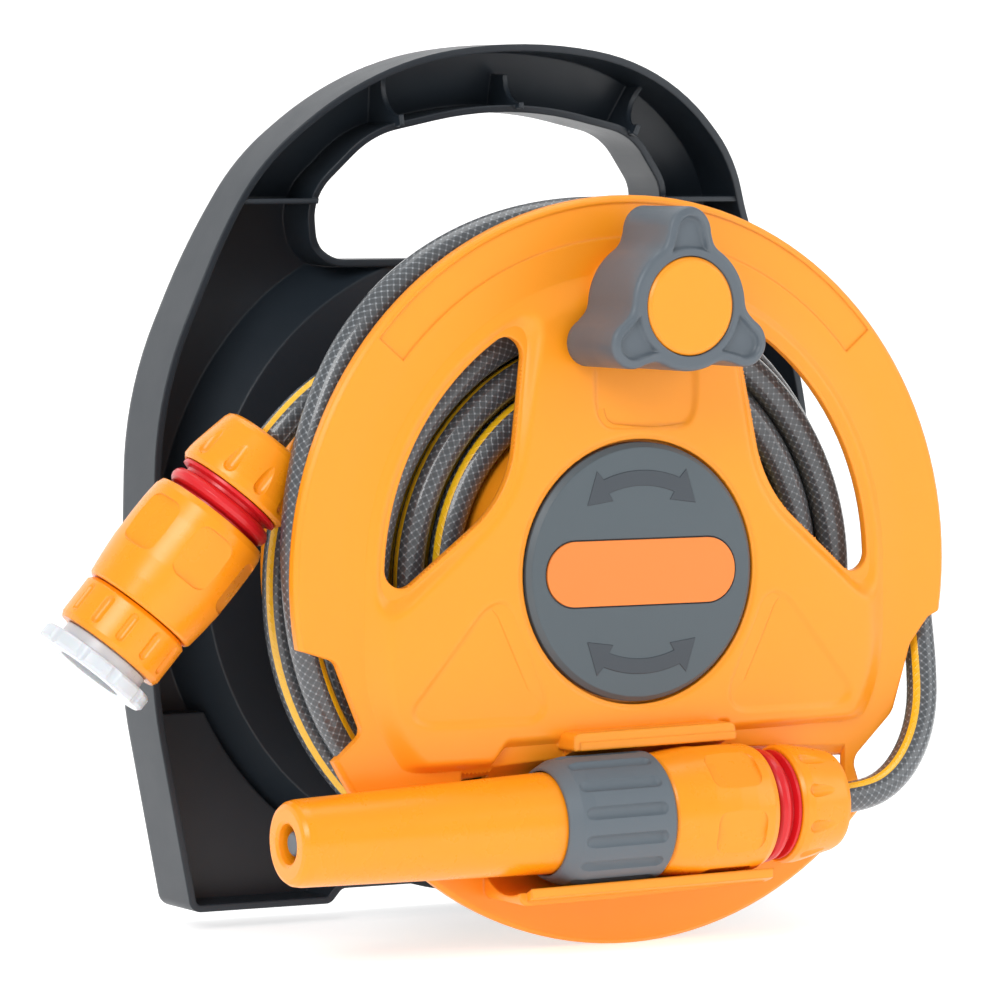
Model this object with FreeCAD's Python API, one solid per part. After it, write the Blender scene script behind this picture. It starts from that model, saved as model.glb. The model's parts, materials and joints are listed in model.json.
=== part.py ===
import FreeCAD, Part
import math
import os
from FreeCAD import Vector

# Compact garden hose reel: a moulded carrying frame with a spindle, and a
# drum that turns on it with 10 m of micro hose, a hose-end connector with a
# tap connector on one end and a water-stop connector with a jet nozzle on
# the other, parked in a clip on the drum's front.
#
# Frame of the part: millimetres, +Z up, +X right and -Y front when the drum
# faces the viewer. The origin is on the floor, under the middle of the reel.
# Each shape is drawn with the drum's axis along Y through (0, 0) and the face
# of the front flange at y = 0, then moved by REEL_OFFSET.

# ---- driving dimensions -------------------------------------------------
FLANGE_R = 113.0            # front flange, and the height of the axis
FLANGE_T = 2.8              # thickness of the front flange's face
SKIRT_DEPTH = 4.0           # the front flange's turned-back rim
REAR_FLANGE_R = 90.5
REAR_FLANGE_Y = 64.0        # front face of the rear flange
WALL = 2.5                  # usual thickness of the mouldings

CORE_R = 50.0               # drum core that the hose is wound on
SPINDLE_R = 11.9
HUB_BORE_R = 11.95          # runs on the spindle
HUB_FRONT_Y = 8.2
HUB_REAR_Y = 90.0

FRAME_FRONT_Y = 86.0        # front rim of the carrying frame
FRAME_BACK_Y = 112.0        # back of the frame, against a wall
FRAME_WALL = 2.2
BACK_ROUND = 5.0            # rounding of the frame's upper rear edge
BOSS_FACE_Y = 94.0          # raised round boss behind the drum
BOSS_FACE_R = 96.0
BOSS_FOOT_R = 106.5
FOOT_Z = -107.0             # underside of the two feet

KNOB_Z = 80.5               # crank knob above the axis
KNOB_FACE_Y = -36.0
KNOB_BACK_Y = -8.0
KNOB_LOBE_R = 29.5
CRANK_PIN_R = 6.0
PIN_TIP_Y = -27.0           # front end of the crank pin, inside the knob

CAP_R = 39.0                # grey cap over the hub
CAP_FACE_Y = -7.3

HOSE_R = 4.75               # 9.5 mm hose
WINDING_R = 93.5            # outside of the wound hose
WINDING_SAG = 5.0           # the winding hangs this much below the axis

CLIP_Y = -14.5              # axis of the parked nozzle
CLIP_Z = -72.6
CLIP_TILT = 1.0             # degrees, tip lower
CLIP_BORE_R = 20.6

TAP_END = (-105.5, 31.0, 39.9)         # hose entry of the tap-end connector
TAP_END_AIM = (-0.6205, 0.13, -0.7731)   # and the way that connector points

STOP_X = 61.5               # hose entry of the water-stop connector
NUT_R = 18.0                # connectors, along local Z from the hose entry
NUT_L = 19.0
SLEEVE_R = 19.8
SLEEVE_START = 28.2
SLEEVE_END = 63.5
SOCKET_R = 8.2
SPIGOT_R = 7.9
SPIGOT_TIP = 44.0
COLLAR_R = 19.3
COLLAR_END = 99.5
NOZZLE_TIP = 185.0
TAP_THREAD_R = 10.48        # for a 1/2 inch BSP tap, 20.96 mm

REEL_OFFSET = Vector(0, -(KNOB_FACE_Y - 0.5 + FRAME_BACK_Y) / 2, FLANGE_R)

Y_AXIS = Vector(0, 1, 0)


# ---- small helpers ------------------------------------------------------
def cyl(radius, y0, y1, x=0.0, z=0.0):
    """A cylinder along Y."""
    return Part.makeCylinder(radius, y1 - y0, Vector(x, y0, z), Y_AXIS)


def tube(outer, inner, y0, y1, x=0.0, z=0.0):
    """A tube along Y."""
    return cyl(outer, y0, y1, x, z).cut(cyl(inner, y0 - 1, y1 + 1, x, z))


def turned(profile):
    """Solid of revolution about the drum's axis from (radius, y) points."""
    points = [Vector(r, y, 0) for r, y in profile]
    face = Part.Face(Part.makePolygon(points + points[:1]))
    return face.revolve(Vector(0, 0, 0), Y_AXIS, 360)


def turned_local(profile):
    """Solid of revolution about local Z from (radius, z) points."""
    points = [Vector(r, 0, z) for r, z in profile]
    face = Part.Face(Part.makePolygon(points + points[:1]))
    return face.revolve(Vector(0, 0, 0), Vector(0, 0, 1), 360)


def rounded_loop(corners, to_point):
    """Closed wire through corners (a, b, radius) with tangent round corners."""
    count = len(corners)
    spans = []
    for i in range(count):
        a = Vector(corners[i - 1][0], corners[i - 1][1], 0)
        b = Vector(corners[i][0], corners[i][1], 0)
        c = Vector(corners[(i + 1) % count][0], corners[(i + 1) % count][1], 0)
        into = (a - b).normalize()
        out = (c - b).normalize()
        half = math.acos(max(-1.0, min(1.0, into.dot(out)))) / 2
        reach = corners[i][2] / math.tan(half)
        start = b + into * reach
        end = b + out * reach
        middle = (into + out).normalize()
        centre = b + middle * (corners[i][2] / math.sin(half))
        top = centre - middle * corners[i][2]
        spans.append((start, top, end))
    edges = []
    for i in range(count):
        start, top, end = spans[i]
        place = [to_point(p.x, p.y) for p in (start, top, end)]
        if corners[i][2] > 0:
            edges.append(Part.Arc(*place).toShape())
        after = spans[(i + 1) % count][0]
        if (after - end).Length > 1e-6:
            edges.append(Part.LineSegment(place[2], to_point(after.x, after.y)).toShape())
    return Part.Wire(edges)


def plate(corners, y0, y1):
    """A plate across Y, from (x, z, corner radius)."""
    wire = rounded_loop(corners, lambda a, b: Vector(a, y0, b))
    return Part.Face(wire).extrude(Vector(0, y1 - y0, 0))


def side_prism(corners, x0, x1):
    """A bar along X, from (y, z, corner radius)."""
    wire = rounded_loop(corners, lambda a, b: Vector(x0, a, b))
    return Part.Face(wire).extrude(Vector(x1 - x0, 0, 0))


def grown(corners, y0, y1, offset):
    """A plate whose outline is offset outwards (or inwards if negative)."""
    wire = rounded_loop(corners, lambda a, b: Vector(a, y0, b))
    bigger = wire.makeOffset2D(offset)
    return Part.Face(bigger).extrude(Vector(0, y1 - y0, 0))


def mirrored(corners):
    """Both halves of an outline given for the right side, bottom to top."""
    left = [(-x, z, r) for x, z, r in reversed(corners) if x > 0]
    return corners + left


def fillet(shape, radius, wanted):
    """Round the edges that wanted() picks, or keep the shape if it can't."""
    edges = [e for e in shape.Edges if wanted(e)]
    try:
        result = shape.makeFillet(radius, edges)
    except Part.OCCError:
        return shape
    return result if result.isValid() else shape


def fuse_all(shapes):
    body = shapes[0]
    for shape in shapes[1:]:
        body = body.fuse(shape)
    return body.removeSplitter()


# ---- carrying frame -----------------------------------------------------
FRAME_OUTLINE = mirrored([
    (53.0, -102.5, 3.0),
    (57.0, FOOT_Z, 3.5),
    (105.0, FOOT_Z, 4.0),
    (118.5, -38.0, 150.0),
    (116.5, 52.0, 120.0),
    (84.0, 124.0, 60.0),
    (52.0, 153.0, 90.0),
    (0.0, 161.0, 160.0),
])

HANDLE_HOLE = mirrored([
    (57.0, 92.5, 12.0),
    (63.0, 112.0, 14.0),
    (46.0, 131.0, 25.0),
    (0.0, 141.0, 120.0),
])


def leaning(front_y, back_y):
    """Side view of the frame: upright, with the handle leaning forwards."""
    return side_prism([
        (front_y, -120.0, 0.0),
        (back_y, -120.0, 0.0),
        (back_y, 95.0, 80.0),
        (back_y - 30.0, 175.0, 0.0),
        (front_y - 29.0, 175.0, 0.0),
        (front_y, 103.0, 60.0),
    ], -130, 130)


def handle_rib(x0, z0, x1, z1):
    """A rib across the grip, with a round notch in its front edge."""
    run = Vector(x1 - x0, 0, z1 - z0)
    side = Vector(0, 1, 0).cross(run).normalize()
    start = Vector(x0, 60, z0) - side * 0.8
    rib = Part.Face(Part.makePolygon([
        start, start + run, start + run + side * 1.6, start + side * 1.6, start,
    ])).extrude(Vector(0, 60, 0))
    middle = Vector((x0 + x1) / 2, 0, (z0 + z1) / 2)
    front = FRAME_FRONT_Y + 4 - 0.4 * (middle.z - 103.0)
    rib = rib.common(Part.makeBox(300, 60, 300, Vector(-150, front, -150)))
    notch = Part.makeCylinder(7.5, 6, Vector(middle.x, front + 2, middle.z) - side * 3, side)
    return rib.cut(notch)


def upper_back_edge(edge):
    """True for the rear outer edges above the frame's waist."""
    box = edge.BoundBox
    middle = edge.CenterOfMass
    half_way = 0.5 * (FRAME_FRONT_Y + FRAME_BACK_Y) - 0.35 * max(0.0, middle.z - 100.0)
    return box.YMin > 80 and box.ZMin > -40 and box.ZMax > 40 and box.YLength < 26 and middle.y > half_way


def frame_shell():
    outer = plate(FRAME_OUTLINE, 50, 115).fuse(cyl(BOSS_FOOT_R, 50, 115))
    outer = outer.common(leaning(FRAME_FRONT_Y, FRAME_BACK_Y))
    outer = outer.removeSplitter()
    outer = fillet(outer, BACK_ROUND, upper_back_edge)
    inner = grown(FRAME_OUTLINE, 30, 115, -FRAME_WALL)
    inner = inner.fuse(cyl(BOSS_FOOT_R - FRAME_WALL, 30, 115))
    inner = inner.common(leaning(20, FRAME_BACK_Y - WALL))
    shell = outer.cut(inner)

    floor_y = FRAME_BACK_Y - WALL
    boss = turned([
        (0, BOSS_FACE_Y), (BOSS_FACE_R, BOSS_FACE_Y), (BOSS_FOOT_R - 0.5, floor_y),
        (BOSS_FOOT_R - 0.5, FRAME_BACK_Y), (0, FRAME_BACK_Y),
    ])
    hollow = turned([
        (0, BOSS_FACE_Y + WALL), (BOSS_FACE_R - 1.5, BOSS_FACE_Y + WALL),
        (BOSS_FOOT_R - 3.5, FRAME_BACK_Y + 1), (0, FRAME_BACK_Y + 1),
    ])
    shell = shell.fuse(boss.common(outer)).cut(hollow)

    hole_bar = grown(HANDLE_HOLE, 40, 125, FRAME_WALL)
    rim = side_prism([
        (BOSS_FACE_Y - 1.5, 80.0, 0.0),
        (FRAME_BACK_Y - 1.0, 80.0, 0.0),
        (FRAME_BACK_Y - 1.0, 98.0, 60.0),
        (FRAME_BACK_Y - 29.0, 170.0, 0.0),
        (FRAME_FRONT_Y - 23.0, 170.0, 0.0),
        (FRAME_FRONT_Y + 3.0, 104.0, 8.0),
        (BOSS_FACE_Y - 1.5, 96.0, 4.0),
    ], -80, 80)
    shell = shell.fuse(hole_bar.common(rim))

    ribs = [
        handle_rib(-38.0, 133.0, -41.5, 156.0),
        handle_rib(3.0, 137.0, 1.5, 160.0),
        handle_rib(45.0, 130.0, 54.0, 152.0),
    ]
    for side in (-1, 1):
        ribs.append(Part.makeBox(30, 28, 1.6, Vector(61.5 if side > 0 else -91.5, 83.5, 110.0)))
    inside = outer.cut(grown(HANDLE_HOLE, 40, 125, 1.0))
    for rib in ribs:
        shell = shell.fuse(rib.common(inside))

    corner_step = inner.common(Part.makeBox(240, 10, 60, Vector(-120, 101, -107)))
    corner_step = corner_step.cut(cyl(BOSS_FOOT_R - 2, 90, 115))
    shell = shell.fuse(corner_step)

    shell = shell.cut(plate(HANDLE_HOLE, 40, 125))
    for side in (-1, 1):
        shell = shell.cut(Part.makeBox(6, 30, 10.5, Vector(side * 111.5 - 3, 95, -57.0 + 11.5)))
    shell = shell.cut(cyl(7.0, 90, 115))
    return shell.removeSplitter()


def spindle():
    body = turned([
        (2.0, HUB_FRONT_Y - 0.4), (SPINDLE_R - 1.0, HUB_FRONT_Y - 0.4),
        (SPINDLE_R, HUB_FRONT_Y + 0.6), (SPINDLE_R, HUB_REAR_Y + 0.6),
        (24.0, HUB_REAR_Y + 0.6), (24.0, BOSS_FACE_Y), (6.9, BOSS_FACE_Y),
        (6.9, BOSS_FACE_Y + 6.0), (4.0, BOSS_FACE_Y + 6.0), (4.0, 34.0), (2.0, 32.0),
    ])
    return body


def screw(head_r, head_h, shank_r, length, y, x=0.0, z=0.0):
    """A pan-head screw whose head's underside is at y, driven towards +Y."""
    head = cyl(head_r, y - head_h, y, x, z)
    head = fillet(head, head_h * 0.4, lambda e: abs(e.BoundBox.YMin - (y - head_h)) < 1e-6
                  and abs(e.BoundBox.YMax - (y - head_h)) < 1e-6)
    slot = fuse_all([
        Part.makeBox(head_r * 1.1, 1.2, 0.9, Vector(x - head_r * 0.55, y - head_h - 0.2, z - 0.45)),
        Part.makeBox(0.9, 1.2, head_r * 1.1, Vector(x - 0.45, y - head_h - 0.2, z - head_r * 0.55)),
    ])
    return head.fuse(cyl(shank_r, y, y + length, x, z)).cut(slot)


# ---- drum ---------------------------------------------------------------
WINDOW = [(32.8, 95.0, 0.1), (44.2, 24.1, 38.0), (100.0, -22.1, 0.1), (100.0, 95.0, 0.1)]
WINDOW_R = 84.0


def window(side, y0, y1):
    """A window between two spokes: two straight edges and a concentric one."""
    corners = [(side * x, z, r) for x, z, r in WINDOW]
    region = plate(corners, y0, y1).common(cyl(WINDOW_R, y0, y1))
    edges = [e for e in region.Edges if abs(e.BoundBox.YLength - (y1 - y0)) < 1e-6
             and abs(math.hypot(e.CenterOfMass.x, e.CenterOfMass.z) - WINDOW_R) < 0.01]
    return region.makeFillet(5.5, edges)


# Panels pressed into the lower spokes (right side) and the top spoke.
SPOKE_PANEL = [(51.5, -4.5, 6.0), (83.0, -37.5, 4.0), (80.0, -42.0, 3.0), (37.5, -46.0, 4.0), (36.0, -38.0, 8.0)]
TOP_PANEL = [(-13.0, 61.0, 3.0), (-11.0, 45.0, 4.0), (5.0, 43.2, 60.0), (21.0, 45.0, 4.0), (23.0, 61.0, 3.0)]
PRESSED = 0.6               # depth of the panels and of the band by the rim


CROWN = [(43.5, -5.6), (54.0, -4.6), (64.0, -3.3), (74.0, -2.0), (84.0, -0.9), (92.0, -0.25), (98.0, 0.0)]


def crown_line(sunk):
    """The bulge of the flange's face between hub and rim, set back by sunk."""
    curve = Part.BSplineCurve()
    curve.interpolate([Vector(r, y + sunk, 0) for r, y in CROWN])
    return curve.toShape()


def line_edges(profile):
    points = [Vector(r, y, 0) for r, y in profile]
    return [Part.LineSegment(a, b).toShape() for a, b in zip(points, points[1:])]


def flange_disc():
    hub = line_edges([(41.5, 0.3), (0, 0.3), (0, -2.2), (40.0, -2.2), (40.0, CROWN[0][1]), CROWN[0]])
    rim = line_edges([CROWN[-1], (FLANGE_R - 1.2, 0.0), (FLANGE_R, 1.2), (FLANGE_R, SKIRT_DEPTH),
                      (FLANGE_R - 2.4, SKIRT_DEPTH), (FLANGE_R - 2.4, FLANGE_T), (CROWN[-1][0], FLANGE_T)])
    inner = line_edges([(CROWN[0][0], CROWN[0][1] + FLANGE_T), (41.5, CROWN[0][1] + FLANGE_T), (41.5, 0.3)])
    outline = Part.Wire(Part.__sortEdges__(
        hub + [crown_line(0.0)] + rim + [crown_line(FLANGE_T)] + inner))
    return Part.Face(outline).revolve(Vector(0, 0, 0), Y_AXIS, 360)


def behind_crown(sunk):
    """Everything behind the bulge set back by sunk, out to its edge."""
    first, last = CROWN[0], CROWN[-1]
    edges = line_edges([(last[0], last[1] + sunk), (last[0], 9.0), (0, 9.0), (0, first[1] + sunk),
                        (first[0], first[1] + sunk)])
    outline = Part.Wire(Part.__sortEdges__(edges + [crown_line(sunk)]))
    return Part.Face(outline).revolve(Vector(0, 0, 0), Y_AXIS, 360)


def press_in(shape, corners):
    """Sink a panel into the face by PRESSED, following its bulge."""
    return shape.cut(plate(corners, -8, 2).cut(behind_crown(PRESSED)))


def front_flange():
    face = flange_disc()
    for side in (-1, 1):
        face = press_in(face, [(side * x, z, r) for x, z, r in SPOKE_PANEL])
    face = press_in(face, TOP_PANEL)
    band = tube(FLANGE_R - 2.2, 100.5, -1, PRESSED)
    band = band.common(plate([(0, 0, 0), (150, 126, 0), (0, 200, 0), (-150, 126, 0)], -2, 2))
    face = face.cut(band)

    pad = cyl(15.5, -6.2, FLANGE_T, 0, KNOB_Z)
    pad = fillet(pad, 1.5, lambda e: e.BoundBox.YMax < -6)
    clip_axis = Vector(math.cos(math.radians(CLIP_TILT)), 0, math.sin(math.radians(CLIP_TILT)))
    base = Vector(-14.0, CLIP_Y, CLIP_Z) - clip_axis * 34
    trough = Part.makeCylinder(CLIP_BORE_R + WALL, 92, base, clip_axis)
    keep = fuse_all([
        Part.makeBox(200, 20, 200, Vector(-100, 0, CLIP_Z - 100)),
        Part.makeBox(54, 14.5, 30, Vector(-25, -14.5, CLIP_Z)),
        Part.makeBox(84, 25.0, 30, Vector(-48, -25.0, CLIP_Z - 30)),
    ])
    trough = trough.common(keep)
    lower_lip = plate([(-50, -89.0, 2), (36, -87.5, 2), (36, -94.0, 3), (-20, -96.0, 3), (-50, -96.5, 3)],
                      -22.0, 1.0)
    upper_lip = plate([(-27, -47.0, 2), (29, -46.0, 2), (29, -51.0, 1), (-27, -52.5, 1)], -14.0, 1.0)
    bore = Part.makeCylinder(CLIP_BORE_R, 135, base - clip_axis * 10, clip_axis)
    bore = bore.fuse(Part.makeCylinder(15.5, 35, base - clip_axis * 35, clip_axis))
    shape = fuse_all([face.cut(bore), pad, trough.cut(bore), lower_lip.cut(bore), upper_lip.cut(bore)])

    for side in (-1, 1):
        shape = shape.cut(window(side, -10, 10))
    shape = shape.cut(plate([(-120, -17, 1), (-99.5, -23.5, 4), (-90.5, -45, 3), (-104, -57, 1), (-125, -60, 1)],
                            -3, 10))
    shape = shape.cut(plate([(125, -10, 1), (107, -18, 3), (100.5, -26, 4), (94, -47, 8), (79.5, -61, 5),
                             (86, -80, 1), (125, -82, 1)], -3, 10))
    shape = shape.cut(Part.makeBox(2.6, 12, 3.2, Vector(28.6, -8, -50.2)))
    for i in range(3):
        angle = math.radians(90 + 120 * i)
        shape = shape.cut(cyl(2.1, -5, 5, 30 * math.cos(angle), 30 * math.sin(angle)))
    shape = shape.cut(cyl(CRANK_PIN_R, -10, 5, 0, KNOB_Z))
    return shape.removeSplitter()


def drum_core():
    parts = [
        turned([(CORE_R - WALL, 1.5), (CORE_R, 1.5), (CORE_R, REAR_FLANGE_Y),
                (REAR_FLANGE_R - 0.8, REAR_FLANGE_Y), (REAR_FLANGE_R, REAR_FLANGE_Y + 0.8),
                (REAR_FLANGE_R, REAR_FLANGE_Y + 3.4), (REAR_FLANGE_R - 1.8, REAR_FLANGE_Y + 3.4),
                (REAR_FLANGE_R - 1.8, REAR_FLANGE_Y + 2.2), (CORE_R - WALL, REAR_FLANGE_Y + 2.2)]),
        tube(HUB_BORE_R + 3.2, HUB_BORE_R, HUB_FRONT_Y, HUB_REAR_Y),
        tube(CORE_R - 1.0, HUB_BORE_R + 2.0, 30.0, 30.0 + WALL),
    ]
    for i in range(6):
        web = Part.makeBox(CORE_R - 1.5 - HUB_BORE_R - 2, 34.0, 1.8,
                           Vector(HUB_BORE_R + 2, 32.0, -0.9))
        web.rotate(Vector(0, 0, 0), Y_AXIS, 60 * i + 30)
        parts.append(web)
    for i in range(3):
        angle = math.radians(90 + 120 * i)
        parts.append(tube(4.6, 1.5, 0.3, 31.0, 30 * math.cos(angle), 30 * math.sin(angle)))
    return fuse_all(parts)


def hub_cap():
    cap = turned([(0, CAP_FACE_Y), (CAP_R - 1.5, CAP_FACE_Y), (CAP_R, CAP_FACE_Y + 1.5),
                  (CAP_R, -2.2), (CAP_R - 2, -2.2), (CAP_R - 2, CAP_FACE_Y + 2.2), (0, CAP_FACE_Y + 2.2)])
    recess = plate([(-33, -10.2, 9.9), (33, -10.2, 9.9), (33, 10.2, 9.9), (-33, 10.2, 9.9)],
                   CAP_FACE_Y - 1, CAP_FACE_Y + 0.8)
    pegs = [tube(3.0, 1.4, CAP_FACE_Y + 2, -2.2, 22 * s, 0) for s in (-1, 1)]
    return fuse_all([cap.cut(recess)] + pegs)


def cap_badge():
    return plate([(-32.5, -9.8, 9.6), (32.5, -9.8, 9.6), (32.5, 9.8, 9.6), (-32.5, 9.8, 9.6)],
                 CAP_FACE_Y - 0.3, CAP_FACE_Y + 0.8)


def flange_screws():
    screws = []
    for i in range(3):
        angle = math.radians(90 + 120 * i)
        screws.append(screw(3.6, 2.0, 1.5, 12.0, -2.2, 30 * math.cos(angle), 30 * math.sin(angle)))
    return Part.makeCompound(screws)


def crank_pin():
    return turned_at(KNOB_Z, [
        (1.6, PIN_TIP_Y), (CRANK_PIN_R - 0.6, PIN_TIP_Y), (CRANK_PIN_R, PIN_TIP_Y + 0.6), (CRANK_PIN_R, FLANGE_T),
        (CRANK_PIN_R + 3, FLANGE_T), (CRANK_PIN_R + 3, FLANGE_T + 1.8), (0, FLANGE_T + 1.8),
        (0, -12.0), (1.6, -12.0),
    ])


def turned_at(z, profile):
    """A turned piece about an axis along Y at height z."""
    shape = turned(profile)
    shape.translate(Vector(0, 0, z))
    return shape


# ---- crank knob ---------------------------------------------------------
def trilobe(reach, tip_r, waist_r, y0, y1):
    """Three rounded lobes joined by hollow sides, about the crank pin."""
    edges = []
    for i in range(3):
        mid = math.radians(90 + 120 * i)
        along = Vector(math.cos(mid), 0, math.sin(mid))
        across = Vector(-math.sin(mid), 0, math.cos(mid))
        centre = along * (reach - tip_r)
        lean = math.radians(68)
        near = centre + (along * math.cos(lean) - across * math.sin(lean)) * tip_r
        far = centre + (along * math.cos(lean) + across * math.sin(lean)) * tip_r
        edges.append(Part.Arc(near, centre + along * tip_r, far).toShape())
        nxt = math.radians(210 + 120 * i)
        along = Vector(math.cos(nxt), 0, math.sin(nxt))
        across = Vector(-math.sin(nxt), 0, math.cos(nxt))
        start = along * (reach - tip_r) + (along * math.cos(lean) - across * math.sin(lean)) * tip_r
        between = math.radians(150 + 120 * i)
        side = Part.BSplineCurve()
        waist = Vector(math.cos(between), 0, math.sin(between)) * waist_r
        spread = Vector(-math.sin(between), 0, math.cos(between)) * 7.0
        side.interpolate([far, waist - spread, waist + spread, start])
        edges.append(side.toShape())
    wire = Part.Wire(edges)
    wire.translate(Vector(0, y0, KNOB_Z))
    return Part.Face(wire).extrude(Vector(0, y1 - y0, 0))


def knob():
    body = trilobe(KNOB_LOBE_R, 7.4, 18.4, KNOB_FACE_Y, KNOB_BACK_Y)
    body = fillet(body, 1.6, lambda e: e.BoundBox.YMax < KNOB_FACE_Y + 0.01)
    pocket = trilobe(KNOB_LOBE_R - 3.2, 4.6, 15.4, KNOB_FACE_Y - 1, KNOB_FACE_Y + 1.4)
    ring = cyl(17.4, KNOB_FACE_Y - 1, KNOB_FACE_Y + 2, 0, KNOB_Z)
    body = body.cut(pocket.cut(ring))
    body = body.cut(cyl(14.9, KNOB_FACE_Y - 1, PIN_TIP_Y + 0.2, 0, KNOB_Z))
    body = body.cut(cyl(CRANK_PIN_R + 0.06, KNOB_FACE_Y, KNOB_BACK_Y + 1, 0, KNOB_Z))
    hollow = trilobe(KNOB_LOBE_R - 2.4, 5.2, 15.8, PIN_TIP_Y + 3.2, KNOB_BACK_Y + 1)
    hollow = hollow.cut(cyl(CRANK_PIN_R + 3, PIN_TIP_Y, KNOB_BACK_Y + 2, 0, KNOB_Z))
    return body.cut(hollow).removeSplitter()


def knob_cap():
    top = KNOB_FACE_Y - 0.5
    cap = turned_at(KNOB_Z, [(0, top), (13.6, top), (14.6, top + 1.0), (14.6, KNOB_FACE_Y + 2.5),
                             (0, KNOB_FACE_Y + 2.5)])
    return cap


def knob_washer():
    return tube(9.0, 1.7, PIN_TIP_Y - 1.6, PIN_TIP_Y, 0, KNOB_Z)


def knob_screw():
    return screw(3.4, 2.2, 1.6, 11.0, PIN_TIP_Y - 1.6, 0, KNOB_Z)


def spindle_washer():
    return tube(15.0, 2.1, HUB_FRONT_Y - 1.9, HUB_FRONT_Y - 0.4)


def spindle_screw():
    return screw(4.6, 3.0, 2.0, 20.0, HUB_FRONT_Y - 1.9)


# ---- connectors, drawn along local +Z from the hose entry ----------------
def grooves(shape, radius, depth, width, z0, z1, count, phase=0.0):
    """Cut count round-ended grooves along Z into a round surface."""
    for i in range(count):
        centre = radius + width / 2 - depth
        cutter = Part.makeCylinder(width / 2, z1 - z0 - width, Vector(centre, 0, z0 + width / 2))
        for z in (z0 + width / 2, z1 - width / 2):
            cutter = cutter.fuse(Part.makeSphere(width / 2, Vector(centre, 0, z)))
        cutter.rotate(Vector(0, 0, 0), Vector(0, 0, 1), phase + 360.0 * i / count)
        shape = shape.cut(cutter)
    return shape


def clamp_nut():
    nut = turned_local([(3.2, 0), (13.4, 0), (NUT_R - 3.2, 0.8), (NUT_R - 2.6, 2.2), (NUT_R - 0.3, NUT_L - 6.0),
                        (NUT_R, NUT_L - 4.0), (NUT_R, NUT_L - 1.2), (NUT_R - 0.8, NUT_L), (13.0, NUT_L),
                        (13.0, 4.0), (8.0, 2.6), (3.2, 2.6)])
    return grooves(nut, NUT_R - 0.4, 1.2, 4.4, 4.6, NUT_L - 2.4, 10)


def connector_core():
    return turned_local([
        (3.2, 2.6), (8.0, 2.6), (12.8, 4.0), (12.8, NUT_L + 0.3), (16.6, NUT_L + 0.3),
        (16.6, 20.3), (14.4, 20.9), (14.4, 22.0), (16.2, 22.5), (17.0, 23.4),
        (17.3, 24.6), (17.0, 25.8), (16.2, 26.7), (14.6, 27.2), (14.6, 56.0), (SOCKET_R, 56.0),
        (SOCKET_R, SPIGOT_TIP - 2.0), (5.0, SPIGOT_TIP - 2.0), (3.2, 30.0),
    ])


def sleeve():
    body = turned_local([
        (17.7, SLEEVE_START), (18.4, SLEEVE_START), (SLEEVE_R - 0.6, SLEEVE_START + 2.0),
        (SLEEVE_R - 0.1, 36.0), (SLEEVE_R, 42.0), (SLEEVE_R - 0.2, 50.0), (SLEEVE_R - 0.8, 57.0),
        (SLEEVE_R - 1.5, SLEEVE_END - 0.8), (SLEEVE_R - 2.2, SLEEVE_END), (10.2, SLEEVE_END),
        (10.2, 61.8), (14.68, 61.8), (14.68, 38.0), (17.7, 36.0),
    ])
    for i in range(6):
        pad = Part.makeBox(4, 14.0, 17.0, Vector(SLEEVE_R - 1.2, -7.0, 33.0))
        pad = fillet(pad, 4.5, lambda e: abs(e.BoundBox.XLength - 4) < 1e-6)
        pad.rotate(Vector(0, 0, 0), Vector(0, 0, 1), 60 * i + 15)
        body = body.cut(pad)
    return body


def collet():
    ring = turned_local([(SOCKET_R, 56.0), (14.0, 56.0), (14.0, 57.3), (9.8, 57.3), (9.8, 60.7),
                         (7.2, 60.7), (7.2, 59.1), (SOCKET_R, 59.1)])
    for i in range(3):
        gap = Part.makeBox(30, 2.0, 8, Vector(-15, -1.0, 57.3))
        gap.rotate(Vector(0, 0, 0), Vector(0, 0, 1), 60 * i)
        ring = ring.cut(gap)
    return ring


def spigot_profile(bore):
    """Half section of the snap-in end, up to the sleeve's front face."""
    return [(bore, SPIGOT_TIP), (SPIGOT_R - 1.0, SPIGOT_TIP), (SPIGOT_R, SPIGOT_TIP + 1.0),
            (SPIGOT_R, 47.0), (6.1, 47.0), (6.1, 49.4), (SPIGOT_R, 49.4),
            (SPIGOT_R, 58.8), (6.9, 58.8), (6.9, 61.0), (SPIGOT_R, 61.0), (SPIGOT_R, 62.0)]


def spigot_ring():
    return Part.makeTorus(7.0, 0.9, Vector(0, 0, 48.2), Vector(0, 0, 1))


def tap_connector():
    body = turned_local(spigot_profile(5.0) + [
        (9.0, 62.0), (9.0, SLEEVE_END + 0.3), (16.4, SLEEVE_END + 0.3), (17.7, SLEEVE_END + 1.6),
        (17.7, 77.0), (16.9, 78.6), (13.2, 78.6), (13.2, 68.0), (5.0, 68.0)])
    return grooves(body, 17.7, 0.9, 3.2, 66.0, 76.0, 12)


def tap_washer():
    return turned_local([(7.0, 68.1), (12.6, 68.1), (12.6, 70.4), (7.0, 70.4)])


def tap_reducer():
    ring = turned_local([(TAP_THREAD_R, 70.8), (13.1, 70.8), (13.1, 78.9), (14.2, 78.9), (14.2, 82.0),
                         (18.2, 82.4), (18.8, 83.2), (18.8, 86.2), (17.8, 87.2), (TAP_THREAD_R, 87.2)])
    for i in range(10):
        bite = Part.makeCylinder(2.2, 12, Vector(20.0, 0, 80))
        bite.rotate(Vector(0, 0, 0), Vector(0, 0, 1), 36 * i)
        ring = ring.cut(bite)
    return ring


def stop_valve():
    return turned_local([(0, 34.0), (2.4, 34.0), (2.4, 38.6), (4.4, 40.4), (4.4, 41.9), (0, 41.9)])


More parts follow.
